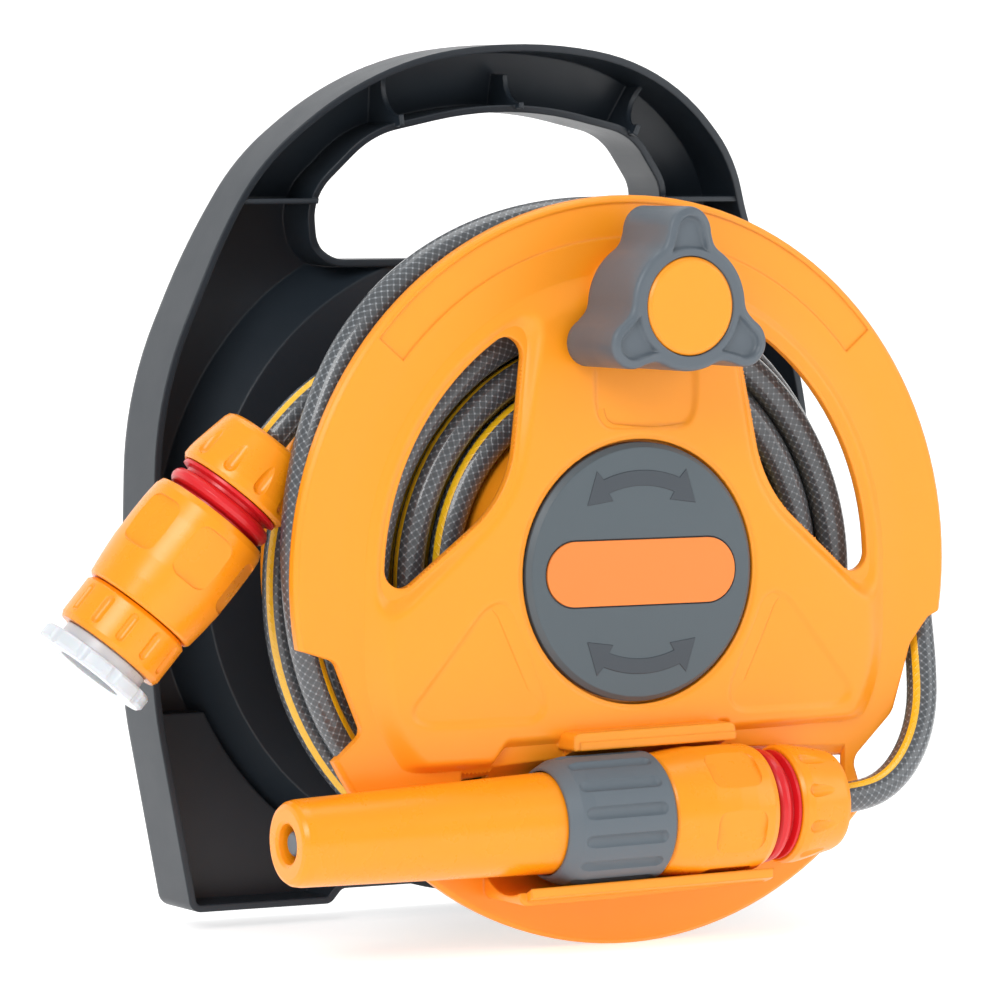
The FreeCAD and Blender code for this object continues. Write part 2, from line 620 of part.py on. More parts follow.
def nozzle_collar():
    body = turned_local(spigot_profile(4.0) + [
        (9.0, 62.0), (9.0, SLEEVE_END + 0.3), (18.2, SLEEVE_END + 0.3), (COLLAR_R, SLEEVE_END + 1.4),
        (COLLAR_R, COLLAR_END - 8.0), (COLLAR_R - 0.7, COLLAR_END - 4.0), (COLLAR_R - 2.4, COLLAR_END - 0.6),
        (COLLAR_R - 3.0, COLLAR_END), (15.6, COLLAR_END), (15.6, 76.0), (4.0, 76.0)])
    return grooves(body, COLLAR_R, 1.3, 4.4, SLEEVE_END + 3.5, COLLAR_END - 4.0, 14)


def nozzle_barrel():
    return turned_local([
        (10.0, 78.0), (15.5, 78.0), (15.5, 92.0), (15.1, COLLAR_END + 2.0), (12.9, NOZZLE_TIP - 4.0),
        (12.5, NOZZLE_TIP - 1.8), (11.6, NOZZLE_TIP - 0.5), (10.4, NOZZLE_TIP), (7.0, NOZZLE_TIP),
        (6.0, NOZZLE_TIP - 0.6), (5.7, NOZZLE_TIP - 2.0), (5.7, NOZZLE_TIP - 16.0), (10.0, NOZZLE_TIP - 26.0)])


def nozzle_needle():
    return turned_local([
        (0, 76.0), (5.6, 76.0), (5.6, 82.0), (3.0, 88.0), (3.0, NOZZLE_TIP - 22.0), (3.9, NOZZLE_TIP - 14.0),
        (3.6, NOZZLE_TIP - 2.6), (3.0, NOZZLE_TIP - 2.0), (0, NOZZLE_TIP - 2.0)])


def placed(shape, origin, aim):
    """Turn a piece drawn along +Z so that it runs along aim from origin."""
    turn = FreeCAD.Rotation(Vector(0, 0, 1), Vector(*aim))
    moved = shape.copy()
    moved.Placement = FreeCAD.Placement(Vector(*origin), turn).multiply(moved.Placement)
    return moved


CLIP_AIM = (-math.cos(math.radians(CLIP_TILT)), 0.0, -math.sin(math.radians(CLIP_TILT)))
STOP_END = (STOP_X, CLIP_Y, CLIP_Z + (STOP_X + 14.0) * math.tan(math.radians(CLIP_TILT)))


def on_stop(shape):
    return placed(shape, STOP_END, CLIP_AIM)


def on_tap(shape):
    return placed(shape, TAP_END, TAP_END_AIM)


# ---- hose ---------------------------------------------------------------
def polar(angle, radius, y):
    """A point round the drum; angle in degrees from +X towards +Z."""
    turn = math.radians(angle)
    return Vector(radius * math.cos(turn), y, radius * math.sin(turn))


def hose_route(points):
    """Straight runs joined by tangent arcs; prints each arc's radius."""
    edges = []
    start = points[0]
    radii = []
    for before, corner, after in zip(points, points[1:], points[2:]):
        into = before - corner
        out = after - corner
        shorter = min(into.Length, out.Length)
        into.normalize()
        out.normalize()
        turn = math.pi - math.acos(max(-1.0, min(1.0, into.dot(out))))
        reach = 0.45 * shorter
        radius = reach / math.tan(turn / 2)
        radii.append(round(radius, 1))
        first = corner + into * reach
        last = corner + out * reach
        middle = (into + out).normalize()
        top = corner + middle * (radius / math.cos(turn / 2) - radius)
        edges.append(Part.LineSegment(start, first).toShape())
        edges.append(Part.Arc(first, top, last).toShape())
        start = last
    edges.append(Part.LineSegment(start, points[-1]).toShape())
    return Part.Wire(edges), radii


def hose_tube(name, points):
    wire, radii = hose_route(points)
    heading = points[1] - points[0]
    ring = Part.Wire(Part.makeCircle(HOSE_R, points[0], heading))
    solid = wire.makePipeShell([ring], True, False)
    ideal = math.pi * HOSE_R ** 2 * wire.Length
    print(name, "length", round(wire.Length, 1), "arc radii", radii,
          "volume ratio", round(solid.Volume / ideal, 5))
    return solid


def run_points():
    """From the stop connector's nut, round the rim and over the top."""
    start = Vector(*STOP_END)
    return [
        start,
        start - 12.0 * Vector(*CLIP_AIM),
        Vector(85.3, -13.0, -66.9),
        Vector(95.5, -9.0, -58.0),
        Vector(102.8, -3.5, -46.5),
        Vector(107.0, 3.5, -33.0),
        Vector(109.0, 9.5, -18.0),
        polar(-1, 109.0, 12.2),
        polar(9.5, 108.6, 13.0),
        polar(24, 108.0, 13.0),
        polar(42, 107.8, 13.0),
        polar(60, 107.8, 13.0),
        polar(78, 108.2, 12.6),
        polar(96, 109.3, 12.2),
        polar(113, 112.0, 11.8),
        polar(129, 114.2, 11.4),
        polar(144, 114.0, 11.2),
        polar(160, 110.8, 11.2),
        polar(177, 107.8, 12.0),
        polar(195, 106.0, 13.2),
        polar(213, 103.0, 15.0),
        polar(231, 97.0, 16.0),
        polar(248, 92.0, 16.0),
    ]


def tail_points():
    """From the winding, off its top, to the tap-end connector."""
    end = Vector(*TAP_END)
    return [
        polar(-8, 84.0, 55.5),
        polar(10, 88.0, 55.0),
        polar(28, 91.0, 52.0),
        polar(46, 93.3, 47.5),
        polar(64, 93.4, 43.0),
        polar(82, 93.4, 39.0),
        polar(100, 93.6, 35.0),
        polar(118, 95.5, 32.0),
        Vector(-66.0, 31.0, 69.5),
        Vector(-84.5, 29.5, 58.5),
        end - 12.0 * Vector(*TAP_END_AIM),
        end,
    ]


def hose_winding():
    """Outer shape of the wound hose: a ring that hangs a little low."""
    front = FLANGE_T + 6.2
    back = REAR_FLANGE_Y - 0.3
    ring = cyl(WINDING_R, front, back, 0, -WINDING_SAG)
    ring = fillet(ring, HOSE_R, lambda e: True)
    return ring.cut(cyl(CORE_R, front - 1, back + 1))


# ---- write the parts ----------------------------------------------------
def build():
    return {
        "frame_shell": frame_shell(),
        "spindle": spindle(),
        "spindle_washer": spindle_washer(),
        "spindle_screw": spindle_screw(),
        "front_flange": front_flange(),
        "drum_core": drum_core(),
        "hub_cap": hub_cap(),
        "cap_badge": cap_badge(),
        "flange_screws": flange_screws(),
        "crank_pin": crank_pin(),
        "knob": knob(),
        "knob_cap": knob_cap(),
        "knob_washer": knob_washer(),
        "knob_screw": knob_screw(),
        "hose_winding": hose_winding(),
        "hose_run": hose_tube("hose_run", run_points()),
        "hose_tail": hose_tube("hose_tail", tail_points()),
        "stop_nut": on_stop(clamp_nut()),
        "stop_core": on_stop(connector_core()),
        "stop_sleeve": on_stop(sleeve()),
        "stop_collet": on_stop(collet()),
        "stop_valve": on_stop(stop_valve()),
        "nozzle_collar": on_stop(nozzle_collar()),
        "nozzle_seal": on_stop(spigot_ring()),
        "nozzle_barrel": on_stop(nozzle_barrel()),
        "nozzle_needle": on_stop(nozzle_needle()),
        "tap_nut": on_tap(clamp_nut()),
        "tap_core": on_tap(connector_core()),
        "tap_sleeve": on_tap(sleeve()),
        "tap_collet": on_tap(collet()),
        "tap_connector": on_tap(tap_connector()),
        "tap_seal": on_tap(spigot_ring()),
        "tap_washer": on_tap(tap_washer()),
        "tap_reducer": on_tap(tap_reducer()),
    }


os.makedirs("parts", exist_ok=True)
for name, shape in build().items():
    shape.translate(REEL_OFFSET)
    if not shape.isValid():
        print("not valid:", name)
    print(name, "solids", len(shape.Solids), "volume", round(shape.Volume, 1))
    shape.exportStep("parts/%s.step" % name)
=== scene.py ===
import json
import math

import bmesh
import bpy
import numpy as np
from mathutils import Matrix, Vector


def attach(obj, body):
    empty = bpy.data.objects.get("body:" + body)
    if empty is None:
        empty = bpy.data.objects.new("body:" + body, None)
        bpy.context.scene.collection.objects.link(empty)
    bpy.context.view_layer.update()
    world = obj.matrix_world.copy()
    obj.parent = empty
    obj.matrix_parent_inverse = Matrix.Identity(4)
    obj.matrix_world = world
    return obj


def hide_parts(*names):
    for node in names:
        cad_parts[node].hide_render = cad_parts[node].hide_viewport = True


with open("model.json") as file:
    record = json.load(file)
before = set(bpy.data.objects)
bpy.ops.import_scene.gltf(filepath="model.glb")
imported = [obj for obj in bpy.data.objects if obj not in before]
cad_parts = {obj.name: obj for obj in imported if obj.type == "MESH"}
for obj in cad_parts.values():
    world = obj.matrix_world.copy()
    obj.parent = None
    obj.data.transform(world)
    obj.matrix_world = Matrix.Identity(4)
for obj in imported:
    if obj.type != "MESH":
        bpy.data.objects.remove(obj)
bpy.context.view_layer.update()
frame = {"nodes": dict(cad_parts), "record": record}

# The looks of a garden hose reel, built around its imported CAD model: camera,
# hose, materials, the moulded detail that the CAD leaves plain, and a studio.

nodes = frame["nodes"]
MM = 0.001

# The drum's axis runs along Y through AXIS (metres), and y = 0 is the front
# flange's face. Places on the drum are given from there in mm, front towards -y.
AXIS = Vector((0.0, -0.03775, 0.113))


def at(x, y, z):
    """A place on the drum, given in mm, as a point in the frame."""
    return AXIS + Vector((x, y, z)) * MM


def polar(angle, radius, y, drop=0.0):
    """A place on the drum by its angle above +X in degrees, lowered by drop."""
    turn = math.radians(angle)
    return Vector((radius * math.cos(turn), y, radius * math.sin(turn) - drop))


def smooth(t):
    """A soft step from 0 to 1, for a number."""
    t = max(0.0, min(1.0, t))
    return t * t * (3 - 2 * t)


def eased(t):
    """The same soft step, for an array."""
    t = np.clip(t, 0.0, 1.0)
    return t * t * (3 - 2 * t)


def add_object(name, data, material=None):
    """A new object in the scene that holds a mesh, camera or lamp."""
    thing = bpy.data.objects.new(name, data)
    bpy.context.scene.collection.objects.link(thing)
    if material is not None:
        data.materials.append(material)
    return thing


def shaded_mesh(name, verts, faces):
    """A smooth-shaded mesh."""
    mesh = bpy.data.meshes.new(name)
    mesh.from_pydata(verts, [], faces)
    for face in mesh.polygons:
        face.use_smooth = True
    return mesh


# ---- camera, at the photograph's viewing angle --------------------------
CAM_TURN = math.radians(-28.93)
CAM_RISE = math.radians(3.42)
CAM_LENS, CAM_SENSOR = 216, 36                                # mm
CAM_LEFT, CAM_UP, CAM_BACK = 0.038985, 0.021244, 1.808113     # metres from AXIS

back = Vector((math.sin(CAM_TURN) * math.cos(CAM_RISE),
               -math.cos(CAM_TURN) * math.cos(CAM_RISE),
               math.sin(CAM_RISE)))
right = Vector((math.cos(CAM_TURN), math.sin(CAM_TURN), 0))
up = right.cross(-back)
cam_data = bpy.data.cameras.new("camera")
cam_data.lens = CAM_LENS
cam_data.sensor_width = CAM_SENSOR
cam_data.clip_start = 0.1
cam = add_object("camera", cam_data)
cam.location = AXIS - right * CAM_LEFT + up * CAM_UP + back * CAM_BACK
cam.rotation_mode = "QUATERNION"
cam.rotation_quaternion = (-back).to_track_quat("-Z", "Y")
bpy.context.scene.camera = cam

# ---- hose: its route ----------------------------------------------------
HOSE_R = 4.75
HELD = 12.0                                # straight stretch inside a connector
CLIP_TILT = math.radians(1.0)              # the parked nozzle's slope along X
CLIP_X, CLIP_Y, CLIP_Z = -14.0, -14.5, -72.6    # a point on the nozzle's axis
STOP_X = 61.5                              # the hose's end in the nozzle's connector


def nozzle_axis_z(x):
    """Height of the parked nozzle's axis at x."""
    return CLIP_Z + (x - CLIP_X) * math.tan(CLIP_TILT)


STOP_AIM = Vector((-math.cos(CLIP_TILT), 0, -math.sin(CLIP_TILT)))
STOP_END = Vector((STOP_X, CLIP_Y, nozzle_axis_z(STOP_X)))
TAP_AIM = Vector((-0.6205, 0.13, -0.7731)).normalized()
TAP_END = Vector((-105.5, 31.0, 39.9))


def tail_points():
    """From the tap-end connector to the top of the winding."""
    return [
        TAP_END, TAP_END - TAP_AIM * HELD,
        Vector((-84.5, 29.5, 58.5)), Vector((-66.0, 31.0, 69.5)),
        polar(118, 95.5, 32.0), polar(100, 93.6, 35.0), polar(82, 93.4, 39.0),
        polar(64, 93.4, 43.0), polar(46, 93.3, 47.5), polar(28, 91.3, 52.0),
        polar(10, 89.5, 56.0),
    ]


def run_points():
    """From the winding, over the top and round the rim, to the nozzle."""
    return [
        polar(248, 92.0, 16.0), polar(231, 97.0, 16.0), polar(213, 103.0, 15.0),
        polar(195, 106.0, 13.2), polar(177, 107.8, 12.0), polar(160, 110.8, 11.2),
        polar(144, 114.0, 11.2), polar(129, 114.2, 11.4), polar(113, 112.0, 11.8),
        polar(96, 109.3, 12.2), polar(78, 108.2, 12.6), polar(60, 107.8, 13.0),
        polar(42, 107.8, 13.0), polar(24, 108.0, 13.0), polar(9.5, 108.6, 13.0),
        polar(-1, 109.0, 12.2),
        Vector((109.0, 9.5, -18.0)), Vector((107.0, 3.5, -33.0)),
        Vector((102.8, -3.5, -46.5)), Vector((95.5, -9.0, -58.0)),
        Vector((85.3, -13.0, -66.9)), STOP_END - STOP_AIM * HELD, STOP_END,
    ]


# The winding is a list of turns: each one's radius at the top, how much lower
# it hangs, and its place along the axis. The first four wind down the rear
# flange, three layers fill the core, and three loose turns lie on top.
REAR, PITCH = 58.9, 9.14
ROWS = (1, 2, 3, 4, 5)
TOP_R, TOP_SAG, CORE_R = 84.5, 5.0, 55.0
SPIRAL = 4
LAYERS = (          # radius, sag, extra radius beside the front flange, rows in order
    (55.0, 0.8, 0.8, ROWS),
    (64.4, 2.4, 1.8, ROWS[::-1]),
    (73.9, 4.0, 2.6, ROWS),
)
turns = [(84.0, 5.0, REAR), (74.5, 3.6, REAR), (64.5, 2.2, REAR), (55.0, 0.8, REAR)]
for layer_radius, layer_sag, beside_flange, rows in LAYERS:
    for row in rows:
        extra = beside_flange if row == ROWS[-1] else 0.0
        turns.append((layer_radius + extra, layer_sag, REAR - PITCH * row))
turns += [(83.8, TOP_SAG, 39.0), (83.8, TOP_SAG, 28.6), (84.6, TOP_SAG, 16.4)]

PER_TURN = 14                              # control points in a turn
CROSS_FROM, CROSS_TO = 30.0, 92.0          # where turns change, degrees below +X
COIL_FROM, COIL_TO = -8.0, -94.0           # where the coil leaves the tail, and ends
RIDE_OVER = 6.5                            # lift of a top turn as it crosses another
DOWN_FROM, DOWN_STEP, DOWN_SAG = -165.0, 9.5, 1.4    # the spiral, each turn
TAIL_Y, TAIL_BLEND = 57.0, 60.0            # the tail's depth, and degrees to settle


def coil_points():
    """Control points round the winding, from the tail's side to the run's."""
    points = []
    angle = COIL_FROM
    last = -360.0 * (len(turns) - 2) + COIL_TO
    while angle > last:
        index = max(0, int(math.floor((-angle - CROSS_FROM) / 360.0)) + 1)
        passed = -angle - CROSS_FROM - 360.0 * (index - 1)
        crossing = passed / (CROSS_TO - CROSS_FROM)
        new = turns[min(index, len(turns) - 1)]
        old = turns[index - 1] if index > 0 else new
        part = smooth(crossing)
        radius, sag, y = (old[k] + (new[k] - old[k]) * part for k in range(3))
        if index >= len(turns) - 2 and crossing < 1.0:
            radius += RIDE_OVER * math.sin(math.pi * max(0.0, crossing))
        if index < SPIRAL:
            down = max(0.0, (DOWN_FROM - angle) / 360.0)
            radius = max(CORE_R, TOP_R - DOWN_STEP * down)
            sag = TOP_SAG - DOWN_SAG * min(3.0, down)
            settled = smooth((COIL_FROM - angle) / TAIL_BLEND)
            y = TAIL_Y + (REAR - TAIL_Y) * settled
        # A NURBS curve cuts its corners, so its points stand further out.
        outside = (radius + sag) / math.cos(math.pi / PER_TURN)
        points.append(polar(angle, outside, y, sag))
        angle -= 360.0 / PER_TURN
    return points


def sampled_curve(route):
    """Points along a NURBS curve through the route's control points, in metres."""
    line = bpy.data.curves.new("hose_line", "CURVE")
    line.dimensions = "3D"
    spline = line.splines.new("NURBS")
    spline.points.add(len(route) - 1)
    for point, place in zip(spline.points, route):
        point.co = (*at(*place), 1.0)
    spline.order_u = 3
    spline.use_endpoint_u = True
    line.resolution_u = 8
    line_object = bpy.data.objects.new("hose_line", line)
    bare = bpy.data.meshes.new_from_object(line_object)
    points = np.array([v.co for v in bare.vertices])
    bpy.data.objects.remove(line_object)
    gaps = np.linalg.norm(np.diff(points, axis=0), axis=1)
    return points[np.concatenate([[True], gaps > 1e-7])]


path = sampled_curve(tail_points() + coil_points() + run_points())
steps = np.linalg.norm(np.diff(path, axis=0), axis=1)
along = np.concatenate([[0], np.cumsum(steps)])
HOSE_LENGTH = float(along[-1])


# ---- hose: its tube -----------------------------------------------------
def hose_mesh(path, along, radius, ring):
    """A tube along path, with a UV map: metres along it, and turns round it.

    Turn 0 faces the front all the way, so the stripes don't wander on the coil.
    """
    count = len(path)
    tangent = np.gradient(path, axis=0)
    tangent /= np.linalg.norm(tangent, axis=1)[:, None]
    outward = path - np.array(AXIS)
    outward[:, 1] = 0
    outward /= np.linalg.norm(outward, axis=1)[:, None]
    front = np.tile(np.array([0.0, -1.0, 0.0]), (count, 1))
    first = front - (front * tangent).sum(1)[:, None] * tangent
    first /= np.linalg.norm(first, axis=1)[:, None]
    second = np.cross(tangent, first)
    side = np.sign((second * outward).sum(1))[count // 2]
    second *= side
    share = np.linspace(0, 2 * math.pi, ring, endpoint=False)
    across = np.cos(share)[None, :, None] * first[:, None, :]
    upward = np.sin(share)[None, :, None] * second[:, None, :]
    verts = (path[:, None, :] + radius * (across + upward)).reshape(-1, 3)

    order = 1 if side > 0 else -1
    faces = []
    for i in range(count - 1):
        for j in range(ring):
            k = (j + 1) % ring
            quad = (i * ring + j, i * ring + k, (i + 1) * ring + k, (i + 1) * ring + j)
            faces.append(quad[::order])
    faces.append(tuple(range(ring))[::-order])
    faces.append(tuple((count - 1) * ring + j for j in range(ring))[::order])

    mesh = bpy.data.meshes.new("hose")
    mesh.from_pydata(verts.tolist(), [], faces)
    uv = mesh.uv_layers.new(name="UVMap")
    for face in mesh.polygons:
        columns = [mesh.loops[k].vertex_index % ring for k in face.loop_indices]
        wraps = max(columns) - min(columns) > ring / 2
        for k in face.loop_indices:
            i, j = divmod(mesh.loops[k].vertex_index, ring)
            turn = (j + (ring if wraps and j < ring / 2 else 0)) / ring
            uv.data[k].uv = (along[i], turn)
        face.use_smooth = len(columns) == 4
    mesh.update()
    return mesh


hose = add_object("hose", hose_mesh(path, along, HOSE_R * MM, ring=20))
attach(hose, "drum")
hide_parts("hose_winding", "hose_run", "hose_tail")


# ---- materials ----------------------------------------------------------
class Nodes:
    """A short way to build a material's node tree."""

    def __init__(self, name):
        self.mat = bpy.data.materials.new(name)
        self.mat.use_nodes = True
        self.tree = self.mat.node_tree
        self.shader = self.tree.nodes["Principled BSDF"]
        self.place = self.add("ShaderNodeTexCoord").outputs["Object"]

    def add(self, kind, **values):
        node = self.tree.nodes.new(kind)
        for key, value in values.items():
            setattr(node, key, value)
        return node

    def link(self, a, b):
        self.tree.links.new(a, b)

    def fill(self, value, socket):
        """Sets a socket to a number or colour, or links an output to it."""
        if isinstance(value, (int, float)):
            socket.default_value = value
        elif isinstance(value, tuple):
            socket.default_value = (*value, 1.0)
        else:
            self.link(value, socket)

    def shade(self, **values):
        """Fills the shader's sockets, named with _ for a space."""
        for name, value in values.items():
            self.fill(value, self.shader.inputs[name.replace("_", " ")])

    def math(self, operation, a, b=None):
        node = self.add("ShaderNodeMath", operation=operation)
        self.fill(a, node.inputs[0])
        if b is not None:
            self.fill(b, node.inputs[1])
        return node.outputs[0]

    def noise(self, scale, detail=2.0, rough=0.5):
        node = self.add("ShaderNodeTexNoise")
        self.fill(scale, node.inputs["Scale"])
        self.fill(detail, node.inputs["Detail"])
        self.fill(rough, node.inputs["Roughness"])
        self.link(self.place, node.inputs["Vector"])
        return node.outputs["Fac"]

    def ramp(self, source, low, high, a=0.0, b=1.0):
        """Runs from low to high while source goes from a to b."""
        node = self.add("ShaderNodeMapRange")
        self.fill(a, node.inputs["From Min"])
        self.fill(b, node.inputs["From Max"])
        self.fill(low, node.inputs["To Min"])
        self.fill(high, node.inputs["To Max"])
        self.link(source, node.inputs["Value"])
        return node.outputs["Result"]

    def mix(self, share, a, b):
        """Colour a, turning into colour b as share goes from 0 to 1."""
        node = self.add("ShaderNodeMix", data_type="RGBA")
        self.fill(share, node.inputs["Factor"])
        for name, value in (("A", a), ("B", b)):
            socket = [s for s in node.inputs if s.name == name and s.type == "RGBA"][0]
            self.fill(value, socket)
        return [s for s in node.outputs if s.type == "RGBA"][0]

    def bump(self, height, depth, strength=1.0, normal=None):
        node = self.add("ShaderNodeBump")
        self.fill(strength, node.inputs["Strength"])
        self.fill(depth, node.inputs["Distance"])
        self.link(height, node.inputs["Height"])
        if normal is not None:
            self.link(normal, node.inputs["Normal"])
        return node.outputs["Normal"]


def linear(r, g, b):
    """Linear colour from 0-255 display values."""
    def one(v):
        v /= 255.0
        return v / 12.92 if v <= 0.04045 else ((v + 0.055) / 1.055) ** 2.4
    return (one(r), one(g), one(b))


def moulded(name, rgb, rough, grain=0.00002, mottle=0.05, soft=0.0, edge=0.0005, metal=0.0):
    """Injection-moulded plastic: fine grain, slow mottling and rounded edges.

    grain is its depth and edge its rounding in metres, mottle how far the colour
    strays, and soft how much light gets under the surface.
    """
    m = Nodes(name)
    base = linear(*rgb)
    light = tuple(min(1.0, c * (1 + mottle)) for c in base)
    dark = tuple(c * (1 - mottle) for c in base)
    rounded = m.add("ShaderNodeBevel", samples=6)
    rounded.inputs["Radius"].default_value = edge
    m.shade(
        Base_Color=m.mix(m.noise(28.0, 3.0, 0.55), dark, light),
        Roughness=m.ramp(m.noise(90.0, 4.0, 0.6), rough - 0.06, rough + 0.06),
        Normal=m.bump(m.noise(2600.0, 2.0, 0.5), grain, 1.0, rounded.outputs["Normal"]),
        IOR=1.49,
        Metallic=metal,
    )
    if soft:
        m.shade(Subsurface_Weight=soft, Subsurface_Scale=0.002)
        m.shader.inputs["Subsurface Radius"].default_value = (1.0, 0.45, 0.15)
    return m.mat


BRAID_PITCH, BRAID_COUNT = 0.0026, 11.0    # metres per thread, and threads round the hose
STRIPE_HALF = 0.040                        # of a turn
STRIPE_SHIFT = 0.30                        # turned over where the hose leaves the coil
STRIPE_AT = 0.31                           # on the coil, in turns
WANDER, WANDER_RATE = 0.05, 4.6            # the hose twists slightly as it is wound


def hose_material():
    """Clear-coated grey hose with a diamond braid and a yellow stripe."""
    m = Nodes("hose")
    uv = m.add("ShaderNodeUVMap", uv_map="UVMap")
    split = m.add("ShaderNodeSeparateXYZ")
    m.link(uv.outputs["UV"], split.inputs[0])
    along, turn = split.outputs["X"], split.outputs["Y"]

    lay = m.math("MULTIPLY", along, 1 / BRAID_PITCH)
    around = m.math("MULTIPLY", turn, BRAID_COUNT)
    threads = []
    for sign in ("ADD", "SUBTRACT"):
        phase = m.math("FRACT", m.math(sign, lay, around))
        off_middle = m.math("ABSOLUTE", m.math("SUBTRACT", phase, 0.5))
        threads.append(m.math("SUBTRACT", 1.0, m.math("MULTIPLY", off_middle, 2.0)))
    thread = m.ramp(m.math("MAXIMUM", *threads), 0.0, 1.0, 0.66, 0.96)
    # The thread crossings are lightened to near-white: a painted highlight on the braid.
    glint = m.ramp(m.math("MINIMUM", *threads), 0.0, 1.0, 0.62, 0.90)
    braid = m.mix(thread, linear(58, 62, 66), linear(90, 96, 101))
    braid = m.mix(glint, braid, linear(172, 178, 184))
    tone = m.mix(m.noise(60.0), linear(56, 60, 64), linear(88, 93, 98))
    body = m.mix(0.35, braid, tone)

    wave = m.math("SINE", m.math("MULTIPLY", along, WANDER_RATE))
    twist = m.math("MULTIPLY", wave, WANDER)
    shift = m.ramp(along, 0.0, STRIPE_SHIFT, HOSE_LENGTH - 0.80, HOSE_LENGTH - 0.55)
    moved = m.math("ADD", turn, m.math("ADD", twist, shift))
    stripe_at = m.math("FRACT", m.math("ADD", moved, STRIPE_AT))
    near = m.math("ABSOLUTE", m.math("SUBTRACT", stripe_at, 0.5))
    stripe = m.math("LESS_THAN", near, STRIPE_HALF)
    m.shade(
        Base_Color=m.mix(stripe, body, linear(240, 186, 24)),
        Roughness=m.ramp(m.noise(300.0, 3.0), 0.26, 0.40),
        Normal=m.bump(thread, 0.00012, 0.6),
        Coat_Weight=0.7,
        Coat_Roughness=0.10,
        IOR=1.5,
    )
    return m.mat


LOOKS = {           # slot: display colour, roughness, and what else sets it apart
    "drum_plastic": ((249, 152, 28), 0.33, dict(mottle=0.03, soft=0.06, edge=0.0012)),
    "frame_plastic": ((33, 41, 49), 0.40, dict(grain=0.00003, edge=0.0010)),
    "knob_plastic": ((86, 95, 103), 0.40, dict(edge=0.0008)),
    "cap_plastic": ((78, 88, 94), 0.44, dict(mottle=0.04, edge=0.0006)),
    "connector_yellow": ((250, 150, 16), 0.28, dict(mottle=0.03, soft=0.04, edge=0.0006)),
    "connector_red": ((212, 26, 34), 0.30, dict(mottle=0.04, soft=0.08, edge=0.0004)),
    "nozzle_grey": ((92, 102, 110), 0.50, dict(edge=0.0006)),
    "collet_plastic": ((214, 214, 208), 0.40, dict(edge=0.0003)),
    "seal_rubber": ((22, 22, 22), 0.55, dict(edge=0.0003)),
    "reducer_white": ((204, 209, 214), 0.28, dict(mottle=0.02, soft=0.22)),
    "badge_label": ((236, 131, 54), 0.34, dict(mottle=0.02, edge=0.0004)),
    "steel": ((160, 162, 164), 0.34, dict(mottle=0.06, edge=0.0002, metal=1.0)),
    "spindle_plastic": ((86, 92, 98), 0.42, dict(edge=0.0004)),
}
materials = {slot: moulded(slot, rgb, rough, **more)
             for slot, (rgb, rough, more) in LOOKS.items()}
# The arrows' darker grey is painted shade, standing in for the shade inside arrows sunk into
# the cap.
arrow_painted_shade = moulded("arrow_painted_shade", (62, 69, 76), 0.50, mottle=0.04, edge=0.0002)

hose.data.materials.append(hose_material())
for part in frame["record"]["subparts"]:
    if part["material_slot"] in materials:
        cad_mesh = nodes[part["node"]].data
        cad_mesh.materials.clear()
        cad_mesh.materials.append(materials[part["material_slot"]])

# ---- moulded relief of the front flange ---------------------------------
HUB_R, RELIEF_R = 40.3, 99.0               # where the relief starts and ends
RELIEF_COLUMNS, RELIEF_ROWS = 540, 66
CROWN_R = [40, 43.5, 54, 64, 74, 84, 92, 98, 99]              # the CAD face's profile:
CROWN_Y = [-5.6, -5.6, -4.6, -3.3, -2.0, -0.9, -0.25, 0, 0]   # its y at each radius
SUNK = 0.3                                 # the relief's edge lies this far in the face
BODY_Y, BODY_R, BODY_CURVE = -5.9, 43.5, 0.0009               # the raised body's dish
WINDOW_R, WINDOW_ROUND = 84.0, 10.0
NOZZLE_GAP, GRIP_GAP, CLIP_FLAT = 18.0, 23.4, 9.5             # room round the nozzle
SLOT_X, SLOT_Z, SLOT_HALF = 29.9, -48.6, (1.3, 1.6)           # the clip's two slots
PRESSED = 0.9                              # depth of the pressed panels
SIDE_PANEL = [(30.5, -38.5), (33.5, -44.0), (74.0, -44.0), (78.0, -39.5),
              (51.5, -7.0), (44.5, -7.0)]
TOP_PANEL_X = 2.5
TOP_PANEL = [(-15.5, 43.0), (15.5, 43.0), (18.0, 46.5), (18.0, 70.0),
             (-18.0, 70.0), (-18.0, 46.5)]


def softest(a, b, k):
    """Smooth minimum of two distance fields."""
    share = np.clip(0.5 + 0.5 * (b - a) / k, 0.0, 1.0)
    return b + (a - b) * share - k * share * (1 - share)


def inside_panel(x, z, corners):
    """How far inside a convex panel with rounded corners, in mm."""
    depth = None
    for (x0, z0), (x1, z1) in zip(corners, corners[1:] + corners[:1]):
        span = math.hypot(x1 - x0, z1 - z0)
        near = ((x1 - x0) * (z - z0) - (z1 - z0) * (x - x0)) / span
        depth = near if depth is None else softest(depth, near, 4.0)
    return depth


def inside_window(x, z, r):
    """How far inside either window, between its spoke, its lower bar and the rim."""
    side = np.abs(x)
    spoke = (side + 0.16 * z - 48.04) / 1.0127
    bar = (z + 0.828 * side - 60.67) / 1.298
    return softest(softest(spoke, bar, 9.7), WINDOW_R - r, WINDOW_ROUND)


def relief_share(x, z, r):
    """1 on the raised body, 0 off it, with soft steps between."""
    low = eased(-z / 45.0)
    rim_in, rim_out = 81.0 + 8.0 * low, 92.0 + 5.5 * low
    share = eased((-inside_window(x, z, r) - 0.5) / 3.6)
    share = share * (1 - eased((r - rim_in) / (rim_out - rim_in)))
    axis_z = nozzle_axis_z(x)
    gap = np.hypot(z - axis_z, CLIP_FLAT)
    keep = GRIP_GAP - (GRIP_GAP - NOZZLE_GAP) * eased((-44.0 - x) / 6.0)
    share = share * eased((gap - keep) / 3.0) * (z > axis_z)
    slot_gap = np.maximum(np.abs(x - SLOT_X) - SLOT_HALF[0], np.abs(z - SLOT_Z) - SLOT_HALF[1])
    return share * eased((slot_gap - 0.1) / 1.0)


